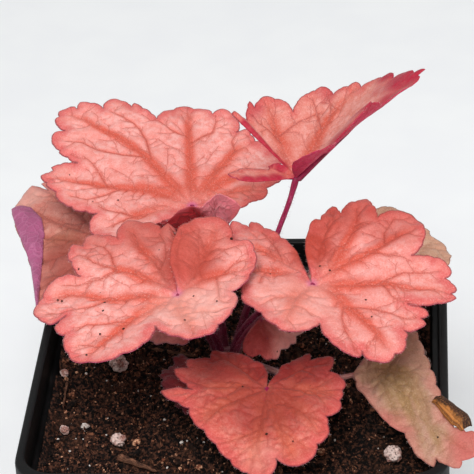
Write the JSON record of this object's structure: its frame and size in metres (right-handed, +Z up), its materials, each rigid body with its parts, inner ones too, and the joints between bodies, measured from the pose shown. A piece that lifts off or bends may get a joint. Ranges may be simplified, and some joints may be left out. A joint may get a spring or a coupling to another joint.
{
  "type": "potted plant",
  "caption": "Potted heuchera: a clump of lobed, toothed coral-pink leaves on purple stalks, growing in dark soil in a square black nursery pot.",
  "frame": {"origin": "centre of the pot's flat bottom face", "axes": "+Z up out of the pot; -Y towards the front side seen in the picture, where the lowest leaf hangs over the rim; +X to the right seen from there"},
  "size_m": [0.137, 0.1401, 0.1674],
  "materials": {
    "black_plastic": "satin",
    "potting_mix": "matte",
    "stalks": "satin",
    "coral_leaf": "satin",
    "dark_coral_leaf": "satin",
    "faded_leaf": "matte",
    "tan_leaf": "matte",
    "young_leaf": "satin",
    "perlite": "matte",
    "twig": "matte"
  },
  "bodies": {
    "root": {"pot": "black_plastic", "soil": "potting_mix", "crown": "stalks", "leaf_back_left": "coral_leaf", "leaf_back_right": "coral_leaf", "leaf_front_left": "coral_leaf", "leaf_front_right": "coral_leaf", "leaf_front_low": "dark_coral_leaf", "leaf_left_old": "faded_leaf", "leaf_right_front_old": "tan_leaf", "leaf_right_back_old": "tan_leaf", "leaf_centre_young": "young_leaf", "leaf_centre_low": "faded_leaf", "leaf_left_low": "faded_leaf", "leaf_front_under": "dark_coral_leaf", "perlite_1": "perlite", "perlite_2": "perlite", "perlite_3": "perlite", "perlite_4": "perlite", "perlite_5": "perlite", "perlite_6": "perlite", "twig_1": "twig", "twig_2": "twig", "twig_3": "twig"}
  },
  "joints": []
}
